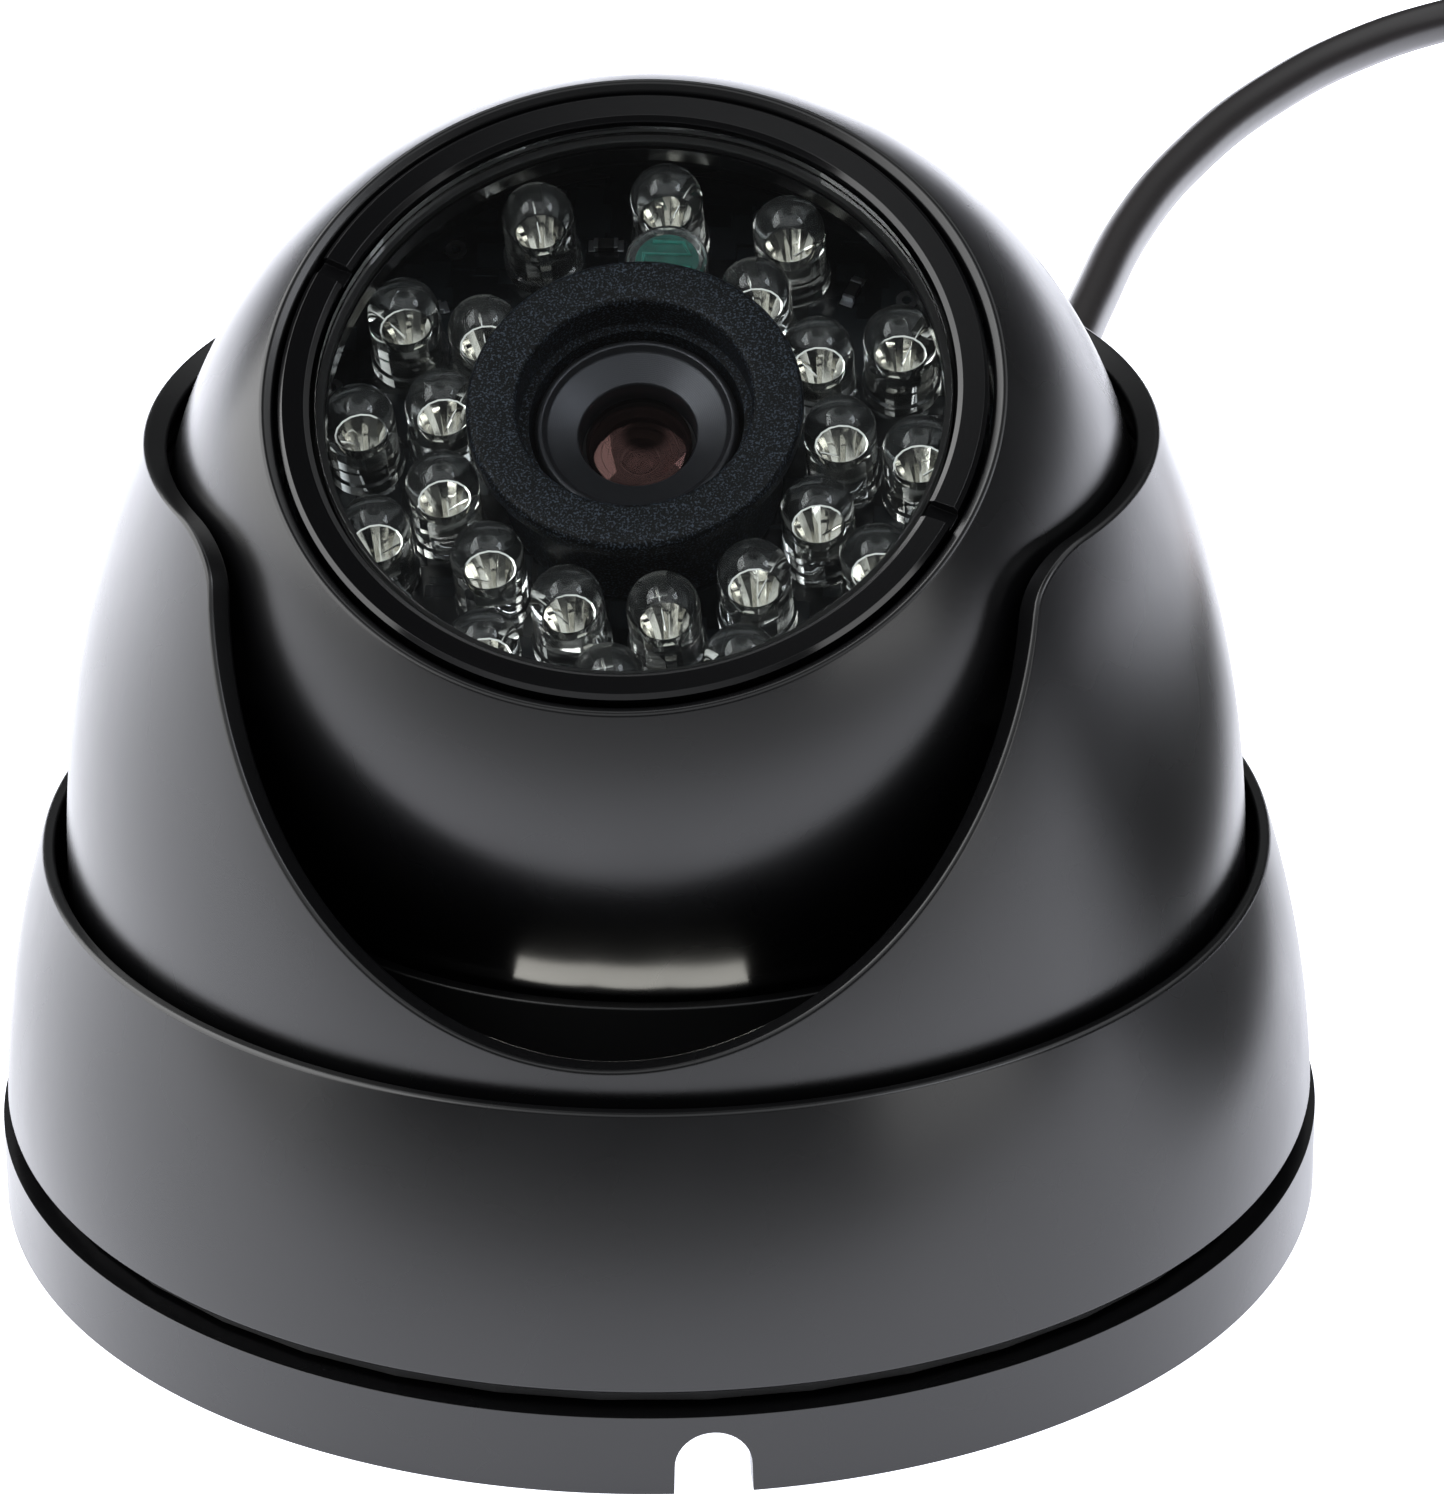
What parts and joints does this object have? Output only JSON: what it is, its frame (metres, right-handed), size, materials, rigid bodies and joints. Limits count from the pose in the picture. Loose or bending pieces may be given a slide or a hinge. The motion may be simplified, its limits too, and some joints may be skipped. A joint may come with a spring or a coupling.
{
  "type": "dome security camera",
  "caption": "Black dome security camera: round base, locking ring, panning housing with a front scoop, and a tilting ball head with infrared lamps round the lens.",
  "frame": {"origin": "middle of the base's underside, on the surface that it is fastened to", "axes": "+Z out of the base through the head, -Y the way the ball's window and the housing's scoop face at rest, +X to the right seen from the front"},
  "size_m": [0.1783, 0.2893, 0.0802],
  "materials": {
    "black_paint": "satin black paint on die-cast metal",
    "black_gloss": "gloss black paint on a turned ring",
    "black_plastic": "fine matte black moulding",
    "rubber": "matte black rubber",
    "nylon": "natural nylon",
    "steel": "bright zinc",
    "board": "glossy black solder mask",
    "window": "clear flat glass",
    "lamp_epoxy": "water-clear epoxy",
    "sensor_face": "clear case over a teal ceramic face",
    "sensor_chip": "dark chip with a glass lid",
    "lens_glass": "coated lens glass",
    "cable_sheath": "satin dark grey sheath",
    "connector_metal": "nickel plate",
    "yellow_sheath": "yellow sheath",
    "red_sheath": "red sheath"
  },
  "bodies": {
    "base": {"base_plate": "black_paint", "ring_seal": "rubber", "pan_washer": "nylon", "strain_relief": "rubber", "camera_cable": "cable_sheath", "cable_coil": "cable_sheath", "cable_tie": "black_plastic", "cable_tail": "cable_sheath", "cable_split": "black_plastic", "video_lead": "yellow_sheath", "video_connector": "connector_metal", "power_lead": "red_sheath", "power_connector": "black_plastic"},
    "locking_ring": {"locking_ring": "black_paint"},
    "housing": {"housing": "black_paint", "ball_cradle": "black_plastic", "ball_liner": "black_plastic", "cradle_screw_1": "steel", "cradle_screw_2": "steel", "cradle_screw_3": "steel"},
    "swivel": {"rear_cable_bush": "rubber"},
    "ball": {"ball_front_shell": "black_paint", "ball_rear_shell": "black_paint", "shell_seal": "rubber", "bezel_ring": "black_gloss", "window_gasket": "rubber", "window_glass": "window", "lamp_board": "board", "lamp_01": "lamp_epoxy", "lamp_02": "lamp_epoxy", "lamp_03": "lamp_epoxy", "lamp_04": "lamp_epoxy", "lamp_05": "lamp_epoxy", "lamp_06": "lamp_epoxy", "lamp_07": "lamp_epoxy", "lamp_08": "lamp_epoxy", "lamp_09": "lamp_epoxy", "lamp_10": "lamp_epoxy", "lamp_11": "lamp_epoxy", "lamp_12": "lamp_epoxy", "lamp_13": "lamp_epoxy", "lamp_14": "lamp_epoxy", "lamp_15": "lamp_epoxy", "lamp_16": "lamp_epoxy", "lamp_17": "lamp_epoxy", "lamp_18": "lamp_epoxy", "lamp_19": "lamp_epoxy", "lamp_20": "lamp_epoxy", "lamp_21": "lamp_epoxy", "lamp_22": "lamp_epoxy", "lamp_23": "lamp_epoxy", "photocell": "sensor_face", "lens_shroud": "black_plastic", "lens_holder": "black_plastic", "sensor_board": "board", "image_sensor": "sensor_chip", "board_spacer_1": "nylon", "board_spacer_2": "nylon"},
    "lens": {"lens_barrel": "black_plastic", "lens_front_element": "lens_glass"}
  },
  "joints": [
    {"name": "pan", "type": "hinge", "parent": "base", "child": "housing", "pos_m": [0, 0, 0], "axis": [0, 0, 1], "range_deg": [-175, 175]},
    {"name": "tilt", "type": "hinge", "parent": "housing", "child": "swivel", "pos_m": [0, 0, 0.0466], "axis": [1, 0, 0], "range_deg": [-34.8, 40]},
    {"name": "roll", "type": "hinge", "parent": "swivel", "child": "ball", "pos_m": [0, 0, 0.0466], "axis": [0, -0.5707, 0.8211], "range_deg": [-170, 170]},
    {"name": "focus", "type": "hinge", "parent": "ball", "child": "lens", "pos_m": [0, 0, 0.0466], "axis": [0, -0.5707, 0.8211], "range_deg": [-90, 90]},
    {"name": "ring_lock", "type": "hinge", "parent": "base", "child": "locking_ring", "pos_m": [0, 0, 0], "axis": [0, 0, 1], "range_deg": [0, 60]}
  ]
}
